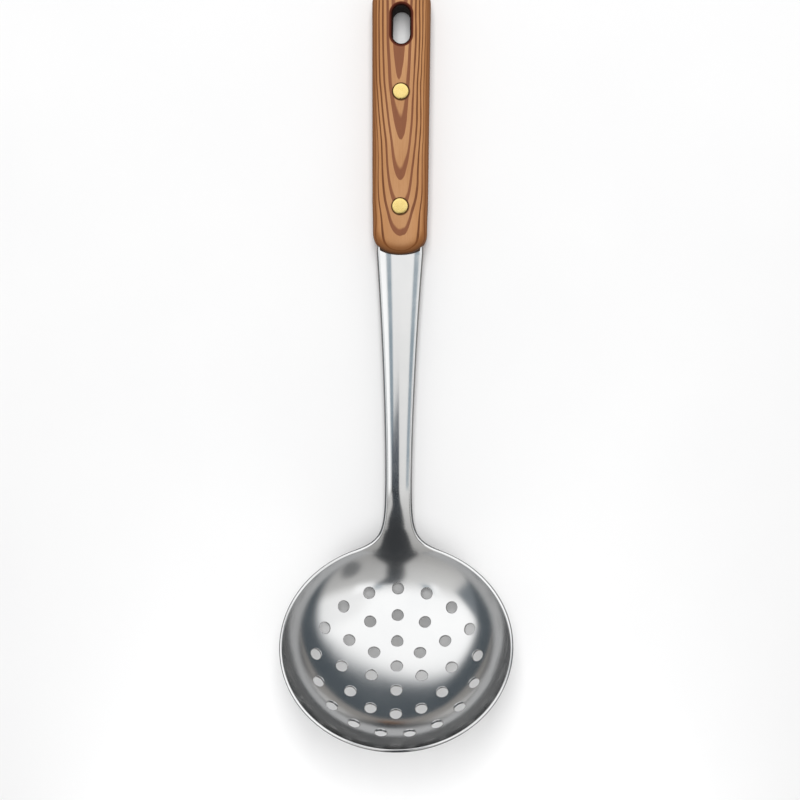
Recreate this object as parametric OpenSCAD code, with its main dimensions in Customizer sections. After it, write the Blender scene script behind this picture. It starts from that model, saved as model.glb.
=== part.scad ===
// Kitchen skimmer: a perforated steel bowl, its shank and its tang stamped
// from one sheet, between two wooden handle scales held by two-part brass rivets.
// The skimmer lies on its back: the handle's rear face and the lowest point of
// the bowl both touch Z = 0. +Y runs from the bowl to the handle's butt,
// and the origin is under the middle of the whole part. Millimetres.

/* [Overall] */
// Length from the bowl's tip to the handle's butt
overall_l = 361; // [350:1:380]

/* [Bowl] */
// Outer diameter of the rim
bowl_d = 110; // [106:1:112]
// Angle between the rim plane and the handle
bowl_tilt = 35.5; // [33:0.5:38]
// Radius of the nearly flat bottom
bottom_r = 147; // [140:1:170]
// Radius of the curve from the bottom up to the rim
corner_r = 38; // [37.5:0.5:41]
// Distance from the bowl's centre where that curve begins
corner_start = 27; // [26:0.5:28]
// Thickness of the steel sheet
sheet_t = 1.5; // [1.2:0.1:1.8]

/* [Drain holes] */
// Diameter of each hole
hole_d = 5.5; // [4:0.1:6.5]
// Distance of each ring of holes from the middle of the bowl
ring_radii = [13.2, 26.4, 38.9]; // [12:0.1:40]
// Holes in each ring, from the inside out
ring_counts = [6, 12, 17]; // [4:1:18]
// How far each ring's holes on the sides lean towards the tip, in degrees
ring_lean = [-5.2, 3.3, 1.8]; // [-8:0.1:8]
// How far each ring's holes gather on the sides, in degrees
ring_gather = [2.5, -1.4, -0.8]; // [-4:0.1:4]

/* [Shank] */
// Width where the shank leaves the handle
shank_w_handle = 22.2; // [18:0.2:23]
// Width at the narrowest place, above the bowl
shank_w_neck = 12.6; // [10:0.2:15]
// How far up the shank the narrowest place lies from the bend
neck_run = 14; // [8:1:24]
// How fast the width grows towards the handle
taper_power = 1.8; // [1.4:0.1:2.4]
// Half angle that the flared neck takes up on the rim
flare_angle = 22; // [20:1:25]
// Height of the turned-up edges, as a share of half the width
trough_ratio = 0.13; // [0.05:0.01:0.16]

/* [Tang] */
// Width of the tang inside the handle
tang_w = 18; // [15:0.5:19]
// Distance from the handle's butt to the end of the tang
tang_gap = 41; // [39:0.5:44]

/* [Handle] */
// Length of the wooden handle
handle_l = 131; // [126:1:136]
// Width at the butt
handle_w_butt = 28.4; // [26:0.2:30]
// Width at the front
handle_w_front = 26.4; // [25:0.2:28]
// Thickness of both scales together
handle_t = 18; // [17:0.5:20]
// Radius of the rounded long edges
edge_r = 4.5; // [3:0.25:5]
// Length of the rounded front end
front_end = 10; // [8:0.5:12]
// Length of the rounded butt end
butt_end = 11; // [9:0.5:13]
// How square the ends are
end_power = 2.1; // [2:0.1:3]

/* [Hanging slot] */
// Width of the slot
slot_w = 8.4; // [7:0.1:9]
// End-to-end length of the slot
slot_l = 18.4; // [16:0.1:20]
// Distance from the handle's butt to the middle of the slot
slot_from_butt = 21.2; // [20:0.2:23]
// Bevel round both mouths of the slot
slot_bevel = 1.5; // [0.8:0.1:2]

/* [Rivets] */
// Distance from the handle's front to the first rivet
rivet_first = 22.5; // [20:0.5:26]
// Distance between the rivets
rivet_pitch = 55; // [52:0.5:56]
// Diameter of the rivet heads
rivet_head_d = 8; // [7:0.1:9]
// Depth of the recess that a head sits in
rivet_head_h = 1.6; // [1.2:0.1:2]
// How far the front heads stand above the wood
rivet_proud = 0.5; // [0.2:0.1:0.8]
// Outer diameter of the tubular half
rivet_tube_d = 5; // [4.6:0.1:5.4]
// Diameter of the pin that is pressed into the tube
rivet_pin_d = 3.4; // [3:0.1:3.6]

/* [Hidden] */
$fn = 64;

steel = [0.78, 0.79, 0.80];
wood = [0.70, 0.47, 0.31];
wood_rear = [0.66, 0.44, 0.29];
brass = [0.90, 0.74, 0.36];

// ---- bowl profile: a shallow arc and a tighter arc that meets it smoothly ----
phi = bowl_tilt;
corner_a0 = asin(corner_start / bottom_r);
corner_cr = corner_start - corner_r * sin(corner_a0);
corner_cz = bottom_r * (1 - cos(corner_a0)) + corner_r * cos(corner_a0);
rim_r = bowl_d / 2 - sheet_t / 2;
rim_a = asin((rim_r - corner_cr) / corner_r);
rim_z = corner_cz - corner_r * cos(rim_a);

// Lowest point of the tilted bowl on Z = 0, tip of the bowl at -overall_l / 2
bowl_z = corner_cr * sin(phi) - corner_cz * cos(phi) + corner_r + sheet_t / 2;
bowl_y = -overall_l / 2 + corner_cr * cos(phi) - corner_cz * sin(phi) + corner_r + sheet_t / 2;

// Point and outward direction of the sheet's middle at slope a, in [r, z]
function mid_at(a) = a < corner_a0
    ? [bottom_r * sin(a), bottom_r * (1 - cos(a))]
    : [corner_cr + corner_r * sin(a), corner_cz - corner_r * cos(a)];
function slope_at(r) = r < corner_start ? asin(r / bottom_r) : asin((r - corner_cr) / corner_r);
// Bowl frame to part frame
function to_part(p) = [p[0], bowl_y + p[1] * cos(phi) + p[2] * sin(phi), bowl_z - p[1] * sin(phi) + p[2] * cos(phi)];

// ---- handle and tang layout along Y ----
butt_y = overall_l / 2;
front_y = butt_y - handle_l;
tang_z = handle_t / 2;
tang_end = butt_y - tang_gap;
rivet_y = [front_y + rivet_first, front_y + rivet_first + rivet_pitch];
slot_y = butt_y - slot_from_butt;

// ---- the flared neck and the shank: rows of points across the sheet ----
embed_a = rim_a - 4;      // the neck starts inside the bowl's wall
neck_rise = tang_z - (bowl_z - rim_r * sin(phi) + rim_z * cos(phi));
bend_a = rim_a - phi;     // slope of the wall where the neck leaves it
bend_run = neck_rise / tan(bend_a / 2);
level_y = to_part([0, rim_r, rim_z])[1] + bend_run;
neck_y = level_y + neck_run;

function smooth(x) = let (c = min(1, max(0, x))) c * c * (3 - 2 * c);
function half_w(y) = y <= neck_y ? shank_w_neck / 2
    : y <= front_y ? shank_w_neck / 2 + (shank_w_handle - shank_w_neck) / 2 * pow((y - neck_y) / (front_y - neck_y), taper_power)
    : shank_w_handle / 2 + (tang_w - shank_w_handle) / 2 * smooth((y - front_y - 1) / 14);
function edge_h(y) = trough_ratio * half_w(y) * (1 - smooth((y - front_y - 3) / 13));

FLARE = 14;   // rows in the flare
LANES = 12;   // lanes across the sheet
shank_ys = [for (i = [1:12]) level_y + (front_y - 3 - level_y) * i / 12];
tang_ys = [for (d = [0, 3, 6, 9, 12, 16]) front_y + d];
row_ys = concat(shank_ys, tang_ys, [tang_end]);
ROWS = FLARE + 1 + len(row_ys);

// Hermite patch from the wall of the bowl to the level shank
function flare_pt(u, v) =
    let (psi = flare_angle * v,
         m = mid_at(embed_a),
         r0 = to_part([m[0] * sin(psi), m[0] * cos(psi), m[1]]),
         up = to_part([(m[0] + cos(embed_a)) * sin(psi), (m[0] + cos(embed_a)) * cos(psi), m[1] + sin(embed_a)]) - r0,
         along = (to_part([m[0] * sin(psi - 0.5 * sign(v)), m[0] * cos(psi - 0.5 * sign(v)), m[1]]) - r0) / (m[0] * PI / 360),
         k = pow(abs(v), 4),
         d0 = up * (1 - k) * (bend_run + 3) + along * k * 22 + up * k * 9,
         p1 = [v * half_w(level_y), level_y, tang_z + edge_h(level_y) * v * v],
         d1 = [0, bend_run + 3 + 10 * v * v, 0],
         u2 = u * u, u3 = u2 * u)
    r0 * (2 * u3 - 3 * u2 + 1) + d0 * (u3 - 2 * u2 + u) + p1 * (3 * u2 - 2 * u3) + d1 * (u3 - u2);
function row_pt(y, v, more) = [v * (half_w(y) + more), y, tang_z + edge_h(y) * v * v];
function mid_pt(i, v, more) = i <= FLARE ? flare_pt(i / FLARE, v) : row_pt(row_ys[i - FLARE - 1], v, more);
function unit(a) = a / norm(a);
function sheet_n(i, v, more) =
    let (a = mid_pt(max(0, i - 1), v, more), b = mid_pt(min(ROWS - 1, i + 1), v, more),
         c = mid_pt(i, max(-1, v - 0.05), more), d = mid_pt(i, min(1, v + 0.05), more))
    unit(cross(d - c, b - a));
// The part of the sheet inside the bowl's wall is thinner than the wall
function half_t(i, t) = i <= 3 ? t / 2 - 0.18 : i == 4 ? t / 2 - 0.06 : t / 2;

// The strip of sheet from row i0 to the end of the tang
module strip(i0 = 0, t = sheet_t, more = 0, past = 0) {
    n = ROWS - i0;
    w = LANES + 1;
    top = [for (i = [i0:ROWS - 1]) for (j = [0:LANES]) let (v = 2 * j / LANES - 1)
        mid_pt(i, v, more) + sheet_n(i, v, more) * half_t(i, t) + (i == ROWS - 1 ? [0, past, 0] : [0, 0, 0])];
    low = [for (i = [i0:ROWS - 1]) for (j = [0:LANES]) let (v = 2 * j / LANES - 1)
        mid_pt(i, v, more) - sheet_n(i, v, more) * half_t(i, t) + (i == ROWS - 1 ? [0, past, 0] : [0, 0, 0])];
    b = n * w;
    faces = concat(
        [for (i = [0:n - 2]) for (j = [0:LANES - 1]) for (f = [0, 1])
            let (p = i * w + j) f == 0 ? [p, p + w, p + w + 1] : [p, p + w + 1, p + 1]],
        [for (i = [0:n - 2]) for (j = [0:LANES - 1]) for (f = [0, 1])
            let (p = b + i * w + j) f == 0 ? [p, p + w + 1, p + w] : [p, p + 1, p + w + 1]],
        [for (i = [0:n - 2]) for (f = [0, 1]) let (p = i * w) f == 0 ? [p, b + p, b + p + w] : [p, b + p + w, p + w]],
        [for (i = [0:n - 2]) for (f = [0, 1]) let (p = i * w + LANES) f == 0 ? [p, p + w, b + p + w] : [p, b + p + w, b + p]],
        [for (j = [0:LANES - 1]) for (f = [0, 1]) f == 0 ? [j, j + 1, b + j + 1] : [j, b + j + 1, b + j]],
        [for (j = [0:LANES - 1]) for (f = [0, 1]) let (p = (n - 1) * w + j) f == 0 ? [p, b + p, b + p + 1] : [p, b + p + 1, p + 1]]);
    polyhedron(points = concat(top, low), faces = faces, convexity = 6);
}

module bowl_shell() {
    // Slopes at which the bowl rests on the table and at which its tip lies
    tip_a = min(90 - phi, rim_a - 4);
    steps = concat(
        [for (i = [0:5]) corner_a0 * i / 5],
        [for (i = [1:6]) corner_a0 + (phi - corner_a0) * i / 6],
        [for (i = [1:4]) phi + (tip_a - phi) * i / 4],
        [for (i = [1:2]) tip_a + (rim_a - tip_a) * i / 2]);
    inner = [for (a = steps) let (m = mid_at(a)) [max(0, m[0] - sin(a) * sheet_t / 2), m[1] + cos(a) * sheet_t / 2]];
    cap = [for (k = [1:5]) let (m = mid_at(rim_a), d = rim_a + 90 - 180 * k / 6)
        [m[0] + cos(d) * sheet_t / 2, m[1] + sin(d) * sheet_t / 2]];
    outer = [for (i = [len(steps) - 1:-1:0]) let (a = steps[i], m = mid_at(a))
        [m[0] + sin(a) * sheet_t / 2, m[1] - cos(a) * sheet_t / 2]];
    rotate_extrude($fn = 128) polygon(concat(inner, cap, outer));
}

module drain_holes() {
    cylinder(d = hole_d, h = 12, center = true);
    for (k = [0:len(ring_counts) - 1]) for (i = [0:ring_counts[k] - 1])
        let (r = ring_radii[k], a = slope_at(r), m = mid_at(a), b = 360 * i / ring_counts[k],
             psi = b + ring_lean[k] * sin(b) + ring_gather[k] * sin(2 * b))
            rotate([0, 0, -psi]) translate([0, m[0], m[1]]) rotate([a, 0, 0])
                cylinder(d = hole_d, h = 8, center = true);
}

module in_bowl() { translate([0, bowl_y, bowl_z]) rotate([-phi, 0, 0]) children(); }

module skimmer_blade() color(steel) difference() {
    union() {
        in_bowl() bowl_shell();
        strip();
    }
    in_bowl() drain_holes();
    for (y = rivet_y) translate([0, y, tang_z]) cylinder(d = rivet_tube_d + 0.3, h = 6, center = true);
}

// ---- handle ----
function body_w(y) = (handle_w_front + (handle_w_butt - handle_w_front) * (y - front_y) / handle_l) / 2;
// Outline of the handle, drawn in by d on every side
function outline(d) =
    let (n = 10,
         f = [for (i = [0:n]) let (a = 90 * i / n, w = body_w(front_y + front_end) - d, e = front_end - d)
             [w * pow(sin(a), 2 / end_power), front_y + d + e * (1 - pow(cos(a), 2 / end_power))]],
         b = [for (i = [0:n]) let (a = 90 - 90 * i / n, w = body_w(butt_y - butt_end) - d, e = butt_end - d)
             [w * pow(sin(a), 2 / end_power), butt_y - d - e * (1 - pow(cos(a), 2 / end_power))]],
         right = concat(f, b))
    concat(right, [for (i = [len(right) - 2:-1:1]) [-right[i][0], right[i][1]]]);

// One half of the handle, from the joint plane up to its rounded outer face
module half_handle() {
    h = handle_t / 2;
    hull() for (k = [0:5]) let (a = 90 * k / 5, d = edge_r * (1 - cos(a)), z = h - edge_r * (1 - sin(a)))
        translate([0, 0, k == 0 ? 0 : z - 0.01]) linear_extrude(k == 0 ? h - edge_r : 0.01) polygon(outline(d));
}

module slot_cutter(w, l, h) {
    s = (l - w) / 2;
    for (e = [-1, 1]) translate([0, e * s, 0]) cylinder(d = w, h = h);
    translate([-w / 2, -s, 0]) cube([w, 2 * s, h]);
}

// Bevelled mouth of the slot, widening upwards from z = 0
module slot_mouth() {
    s = (slot_l - slot_w) / 2;
    b = slot_bevel + 0.5;
    r = slot_w / 2;
    for (e = [-1, 1]) translate([0, e * s, 0]) cylinder(r1 = r, r2 = r + b, h = b);
    translate([0, s, 0]) rotate([90, 0, 0]) linear_extrude(2 * s) polygon([[-r, 0], [r, 0], [r + b, b], [-r - b, b]]);
}

// A half of the handle with its slot, rivet holes and head recesses, joint plane on z = 0
module drilled_half() {
    h = handle_t / 2;
    difference() {
        half_handle();
        translate([0, slot_y, -1]) slot_cutter(slot_w, slot_l, h + 2);
        translate([0, slot_y, h - slot_bevel]) slot_mouth();
        for (y = rivet_y) translate([0, y, 0]) {
            translate([0, 0, -1]) cylinder(d = rivet_tube_d + 0.1, h = h + 2);
            translate([0, 0, h - rivet_head_h]) cylinder(d = rivet_head_d + 0.1, h = rivet_head_h + 1);
        }
    }
}

// Space for the tang, a little larger than the tang
module tang_space() { strip(i0 = FLARE + 11, t = sheet_t + 0.1, more = 0.15, past = 0.3); }

module front_scale() color(wood) difference() {
    translate([0, 0, tang_z]) drilled_half();
    tang_space();
}

module rear_scale() color(wood_rear) difference() {
    translate([0, 0, tang_z]) mirror([0, 0, 1]) drilled_half();
    tang_space();
}

// ---- two-part rivets: a headed pin from the front, a headed tube from the rear ----
module rivet_pin(y) color(brass) translate([0, y, 0]) {
    r = rivet_head_d / 2;
    top = handle_t + rivet_proud;
    seat = handle_t - rivet_head_h;
    rotate_extrude($fn = 96) polygon(concat(
        [[0, 3.2], [rivet_pin_d / 2 - 0.3, 3.2], [rivet_pin_d / 2, 3.5], [rivet_pin_d / 2, seat], [r, seat], [r, handle_t]],
        [for (k = [1:5]) let (a = 90 * k / 5) [r - 0.7 * (1 - cos(a)), handle_t + (rivet_proud - 0.15) * sin(a)]],
        [[r * 0.5, top - 0.04], [0, top]]));
}

module rivet_tube(y) color(brass) translate([0, y, 0]) {
    r = rivet_head_d / 2;
    rotate_extrude($fn = 96) polygon([
        [0, 0], [r - 0.2, 0], [r, 0.2], [r, rivet_head_h], [rivet_tube_d / 2, rivet_head_h],
        [rivet_tube_d / 2, handle_t - rivet_head_h - 1], [rivet_pin_d / 2 + 0.03, handle_t - rivet_head_h - 1],
        [rivet_pin_d / 2 + 0.03, 2.6], [0, 2.6]]);
}

skimmer_blade();
front_scale();
rear_scale();
rivet_pin(rivet_y[1]);  // upper_rivet_pin
rivet_tube(rivet_y[1]);  // upper_rivet_tube
rivet_pin(rivet_y[0]);  // lower_rivet_pin
rivet_tube(rivet_y[0]);  // lower_rivet_tube
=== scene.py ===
import math
from math import sin, cos, asin, radians, degrees, pi

import bpy
import numpy as np
from mathutils import Matrix, Vector
from mathutils.geometry import delaunay_2d_cdt


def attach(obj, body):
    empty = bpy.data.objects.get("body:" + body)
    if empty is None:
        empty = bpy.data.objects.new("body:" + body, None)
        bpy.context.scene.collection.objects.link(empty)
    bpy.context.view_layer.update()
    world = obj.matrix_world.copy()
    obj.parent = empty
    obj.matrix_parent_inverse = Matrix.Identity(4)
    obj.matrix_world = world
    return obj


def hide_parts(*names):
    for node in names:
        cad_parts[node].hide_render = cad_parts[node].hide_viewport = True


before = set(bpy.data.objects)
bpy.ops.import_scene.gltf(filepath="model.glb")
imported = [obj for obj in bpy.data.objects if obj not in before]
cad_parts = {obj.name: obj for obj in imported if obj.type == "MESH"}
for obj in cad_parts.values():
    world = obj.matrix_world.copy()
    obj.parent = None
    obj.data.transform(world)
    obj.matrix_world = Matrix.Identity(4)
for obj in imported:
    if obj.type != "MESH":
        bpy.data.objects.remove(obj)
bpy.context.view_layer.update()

scene = bpy.context.scene
MM = 0.001                       # the shapes below are written in millimetres

# ---------------------------------------------------------------------------
# Sizes, the same as the construction's
# ---------------------------------------------------------------------------
BUTT_Y, FRONT_Y = 180.5, 49.5    # ends of the wooden handle
TANG_Z, HANDLE_T = 9.0, 18.0
SHEET_T = 1.5
TANG_END = 139.5
RIVET_Y = (72.0, 127.0)
SLOT_Y, SLOT_W, SLOT_L, SLOT_ROUND = 159.3, 8.4, 18.4, 1.5
EDGE_R = 4.5
TILT = radians(35.5)
BOTTOM_R, CORNER_R, CORNER_START = 147.0, 38.0, 27.0
RIM_R = 54.25
HOLE_R = 2.75
RINGS = ((13.2, 6, -5.2, 2.5), (26.4, 12, 3.3, -1.4), (38.9, 17, 1.8, -0.8))
NECK_Y, W_NECK, W_HANDLE, W_TANG = -63.0, 6.3, 11.1, 9.0
TROUGH = 0.13
EDGE_E, EDGE_UP = 1.25, 1.36      # rounding of the sheet's outer edge: along the sheet, and through it from the front face
HOLE_E, HOLE_UP = 0.34, 0.80      # the same for the drain holes
LIP_R, LIP_W = 0.35, 0.65         # the bowl's rim is ground: its inner rounding and the width of the narrow flat that faces up


def smooth01(x):
    c = np.clip(x, 0.0, 1.0)
    return c * c * (3 - 2 * c)


# ---------------------------------------------------------------------------
# Mesh helpers
# ---------------------------------------------------------------------------
def triangulate(points, loops, keep):
    """Constrained Delaunay triangles over 2-D points; keep(centroids, tris) says which stay.
    The points keep their order."""
    edges = []
    for loop in loops:
        edges += [(loop[i], loop[(i + 1) % len(loop)]) for i in range(len(loop))]
    co, _, faces, origin, _, _ = delaunay_2d_cdt(
        [Vector((float(p[0]), float(p[1]))) for p in points], edges, [], 0, 1e-7)
    back = [o[0] if o else -1 for o in origin]
    if min(back) < 0:
        raise RuntimeError("the outline crosses itself")
    tris = np.array([[back[i] for i in f] for f in faces], int)
    pts = np.asarray(points, float)
    a, b, c = pts[tris[:, 0]], pts[tris[:, 1]], pts[tris[:, 2]]
    area = (b[:, 0] - a[:, 0]) * (c[:, 1] - a[:, 1]) - (b[:, 1] - a[:, 1]) * (c[:, 0] - a[:, 0])
    tris[area < 0] = tris[area < 0][:, ::-1]
    ok = (np.abs(area) > 1e-9) & keep((a + b + c) / 3, tris)
    return tris[ok]


def inside(poly, pts):
    """Which 2-D points lie inside a polygon."""
    poly = np.asarray(poly, float)
    x, y = pts[:, 0], pts[:, 1]
    out = np.zeros(len(pts), bool)
    j = len(poly) - 1
    for i in range(len(poly)):
        xi, yi = poly[i]
        xj, yj = poly[j]
        if yi != yj:
            hit = ((yi > y) != (yj > y)) & (x < (xj - xi) * (y - yi) / (yj - yi) + xi)
            out ^= hit
        j = i
    return out


def near_any(pts, others, dist):
    """Which points lie closer than dist to any of the others."""
    out = np.zeros(len(pts), bool)
    others = np.asarray(others, float)
    for s in range(0, len(pts), 400):
        d = pts[s:s + 400, None, :] - others[None]
        out[s:s + 400] = ((d * d).sum(2)).min(1) < dist * dist
    return out


def hex_grid(x0, x1, y0, y1, step):
    rows = np.arange(y0, y1, step * 0.8660254)
    pts = []
    for k, y in enumerate(rows):
        pts += [(x, y) for x in np.arange(x0 + (k % 2) * step / 2, x1, step)]
    return np.array(pts)


def new_object(name, verts, faces, normals=None, sharp=None):
    mesh = bpy.data.meshes.new(name)
    mesh.from_pydata([tuple(np.asarray(v) * MM) for v in verts], [], [tuple(int(i) for i in f) for f in faces])
    mesh.polygons.foreach_set("use_smooth", [True] * len(mesh.polygons))
    mesh.update()
    if normals is not None:
        n = np.asarray(normals, float)
        n /= np.linalg.norm(n, axis=1)[:, None]
        mesh.normals_split_custom_set_from_vertices([tuple(v) for v in n])
    if sharp is not None:
        mesh.set_sharp_from_angle(angle=radians(sharp))
    obj = bpy.data.objects.new(name, mesh)
    scene.collection.objects.link(obj)
    return obj


# ---------------------------------------------------------------------------
# The blade: the middle surface of one steel sheet, then its thickness and edges
# ---------------------------------------------------------------------------
A0 = asin(CORNER_START / BOTTOM_R)
CORNER_CR = CORNER_START - CORNER_R * sin(A0)
CORNER_CZ = BOTTOM_R * (1 - cos(A0)) + CORNER_R * cos(A0)
RIM_A = asin((RIM_R - CORNER_CR) / CORNER_R)
BOWL_Z = CORNER_CR * sin(TILT) - CORNER_CZ * cos(TILT) + CORNER_R + SHEET_T / 2
BOWL_Y = -BUTT_Y + CORNER_CR * cos(TILT) - CORNER_CZ * sin(TILT) + CORNER_R + SHEET_T / 2

# Meridian of the bowl by arc length, with the bend eased in over some millimetres
S_BEND = BOTTOM_R * A0
S_RIM = S_BEND + CORNER_R * (RIM_A - A0)
_s = np.linspace(0, S_RIM + 1.0, 6400)
_k = 1 / BOTTOM_R + (1 / CORNER_R - 1 / BOTTOM_R) * smooth01((_s - S_BEND + 5.0) / 10.0)
_a = np.concatenate([[0], np.cumsum((_k[1:] + _k[:-1]) / 2 * np.diff(_s))])
_r = np.concatenate([[0], np.cumsum((np.cos(_a[1:]) + np.cos(_a[:-1])) / 2 * np.diff(_s))])
_z = np.concatenate([[0], np.cumsum((np.sin(_a[1:]) + np.sin(_a[:-1])) / 2 * np.diff(_s))])


def tilt_dir(v):
    v = np.asarray(v, float)
    return np.stack([v[..., 0], v[..., 1] * cos(TILT) + v[..., 2] * sin(TILT),
                     -v[..., 1] * sin(TILT) + v[..., 2] * cos(TILT)], -1)


def bowl_surface(s, psi):
    """Point and normal of the bowl's middle surface at arc length s and azimuth psi from the handle side."""
    a, r, z = np.interp(s, _s, _a), np.interp(s, _s, _r), np.interp(s, _s, _z)
    p = np.stack([r * np.sin(psi), r * np.cos(psi), z], -1)
    n = np.stack([-np.sin(a) * np.sin(psi), -np.sin(a) * np.cos(psi), np.cos(a)], -1)
    return tilt_dir(p) + np.array([0, BOWL_Y, BOWL_Z]), tilt_dir(n)


S_EDGE = S_RIM + 0.3 - EDGE_E           # the middle surface stops short of the edge by its rounding
FLARE = radians(24.0)             # the neck takes up this much of the rim on each side
DIP = 5.0                         # in the middle, the neck leaves the wall this far below the rim


def wall_end(psi):
    """Arc length at which the bowl's wall ends: at the rim, and lower down where the neck runs out of it."""
    t = np.clip(np.abs((np.asarray(psi) + pi) % (2 * pi) - pi) / FLARE, 0, 1)
    return S_EDGE - DIP * (1 - t * t) ** 2


P, N = [], []                     # points and normals of the middle surface
TRIS = []


def add_points(p, n):
    start = len(P)
    P.extend(np.asarray(p, float))
    N.extend(np.asarray(n, float))
    return list(range(start, start + len(p)))


# ---- bowl ----
flare_n, free_n = 48, 300
ring_psi = np.concatenate([np.linspace(FLARE, -FLARE, flare_n + 1),
                           -np.linspace(FLARE, 2 * pi - FLARE, free_n + 1)[1:-1]])
chart = [np.stack([wall_end(ring_psi) * np.sin(ring_psi), wall_end(ring_psi) * np.cos(ring_psi)], 1)]
for step, count in ((1.1, 300), (2.4, 240)):
    b = np.arange(count) * 2 * pi / count + 0.003
    b = b[wall_end(b) - 0.8 > S_EDGE - step]
    chart.append(np.stack([(S_EDGE - step) * np.sin(b), (S_EDGE - step) * np.cos(b)], 1))
hole_spots = [(0.0, 0.0)]
for r, count, lean, gather in RINGS:
    for i in range(count):
        b = 2 * pi * i / count
        hole_spots.append((r, b + radians(lean) * sin(b) + radians(gather) * sin(2 * b)))
HOLE_SIDES = 36
hole_loops, fixed = [], sum(len(c) for c in chart)
for r, psi in hole_spots:
    s0 = float(np.interp(r, _r, _s))
    ang = -np.arange(HOLE_SIDES) * 2 * pi / HOLE_SIDES          # clockwise
    for k, rad in enumerate((HOLE_R + HOLE_E, 3.3, 3.75, 4.4)):
        if r < 1:
            pts = np.stack([rad * np.sin(ang), rad * np.cos(ang)], 1)
        else:
            s = s0 + rad * np.cos(ang)
            az = psi + rad * np.sin(ang) / np.interp(s, _s, _r)
            pts = np.stack([s * np.sin(az), s * np.cos(az)], 1)
        if k == 0:
            # clockwise as seen from inside the bowl
            area = np.sum(pts[:, 0] * np.roll(pts[:, 1], -1) - np.roll(pts[:, 0], -1) * pts[:, 1])
            loop = list(range(fixed, fixed + HOLE_SIDES))
            hole_loops.append(loop[::-1] if area > 0 else loop)
        chart.append(pts)
        fixed += HOLE_SIDES
fixed_pts = np.concatenate(chart)
grid = hex_grid(-S_EDGE, S_EDGE, -S_EDGE, S_EDGE, 1.55)
grid_s = np.hypot(grid[:, 0], grid[:, 1])
grid = grid[(grid_s < S_EDGE - 3.0) & (grid_s < wall_end(np.arctan2(grid[:, 0], grid[:, 1])) - 0.9)]
grid = grid[~near_any(grid, fixed_pts, 0.75)]
hole_centres = np.array([[np.interp(r, _r, _s) * sin(a), np.interp(r, _r, _s) * cos(a)] for r, a in hole_spots])
grid = grid[~near_any(grid, hole_centres, 4.9)]
chart_pts = np.concatenate([fixed_pts, grid])
rim_ring = list(range(len(ring_psi)))
hole_of = np.full(len(chart_pts), -1)
for k, loop in enumerate(hole_loops):
    hole_of[loop] = k


def bowl_keep(c, tris):
    h = hole_of[tris]
    return inside(chart[0], c) & ~((h[:, 0] >= 0) & (h[:, 0] == h[:, 1]) & (h[:, 1] == h[:, 2]))


tris = triangulate(chart_pts, [rim_ring] + hole_loops, bowl_keep)
pts3, nor3 = bowl_surface(np.hypot(chart_pts[:, 0], chart_pts[:, 1]), np.arctan2(chart_pts[:, 0], chart_pts[:, 1]))
add_points(pts3, nor3)
TRIS += tris.tolist()
arc = rim_ring[:flare_n + 1]                       # from the right side of the neck to its left side
free_rim = rim_ring[flare_n:] + [rim_ring[0]]      # on round the bowl, back to the right side


# ---- neck: a height field between the bowl's wall and the level shank ----
def half_w(y):
    y = np.asarray(y, float)
    up = W_NECK + (W_HANDLE - W_NECK) * np.clip((y - NECK_Y) / (FRONT_Y - NECK_Y), 0, 1) ** 1.7
    return np.where(y <= FRONT_Y, up, W_HANDLE + (W_TANG - W_HANDLE) * smooth01((y - FRONT_Y - 1) / 14))


def edge_share(y):
    return TROUGH * (1 - smooth01((np.asarray(y, float) - FRONT_Y - 3) / 13))


LEVEL_Y = -62.5
TOP_Y = -60.0                     # the neck's outline runs into the shank's edge here
arc_p = np.array([P[i] for i in arc])
arc_n = np.array([N[i] for i in arc])
order = np.argsort(arc_p[:, 0])
arc_x, arc_y, arc_z = arc_p[order, 0], arc_p[order, 1], arc_p[order, 2]
arc_slope = -arc_n[order, 1] / arc_n[order, 2]


def neck_z(x, y):
    """Height of the middle surface over the plan, from the wall of the bowl to the level shank."""
    x, y = np.asarray(x, float), np.asarray(y, float)
    fit = lambda v: np.interp(x, arc_x, v)
    y0, z0, s0 = fit(arc_y), fit(arc_z), fit(arc_slope)
    ax = np.abs(x)
    trough = TROUGH * np.where(ax < W_NECK, ax * ax / W_NECK, 2 * ax - W_NECK)
    run = LEVEL_Y - y0
    u = np.clip((y - y0) / run, 0, 1)
    # the bend starts gently at the shank, and the trough flattens on the way down
    drop = z0 - TANG_Z
    flat = (3 * u ** 2 - 2 * u ** 3) ** 2
    return TANG_Z + (1 - u) ** 3 * (drop + (s0 * run + 3 * drop) * u) + trough * flat


def neck_normal(x, y):
    d = 0.02
    # one-sided where the rim is near, so the wall's own slope carries over
    gx = (neck_z(x + d, y + d) - neck_z(x - d, y + d)) / (2 * d)
    gy = (neck_z(x, y + 2 * d) - neck_z(x, y)) / (2 * d)
    n = np.stack([-gx, -gy, np.ones_like(gx)], -1)
    return n / np.linalg.norm(n, axis=-1)[..., None]


def bezier(a, b, c, d, n):
    t = np.linspace(0, 1, n)[:, None]
    return (1 - t) ** 3 * a + 3 * (1 - t) ** 2 * t * b + 3 * (1 - t) * t * t * c + t ** 3 * d


LANES = 40
w_top = float(half_w(TOP_Y)) - EDGE_E
corner = arc_p[0, :2]
toward = (arc_p[1, :2] - arc_p[0, :2]) / np.linalg.norm(arc_p[1, :2] - arc_p[0, :2])
side = bezier(corner, corner + toward * 16, np.array([w_top, TOP_Y - 26]), np.array([w_top, TOP_Y]), 60)
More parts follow.
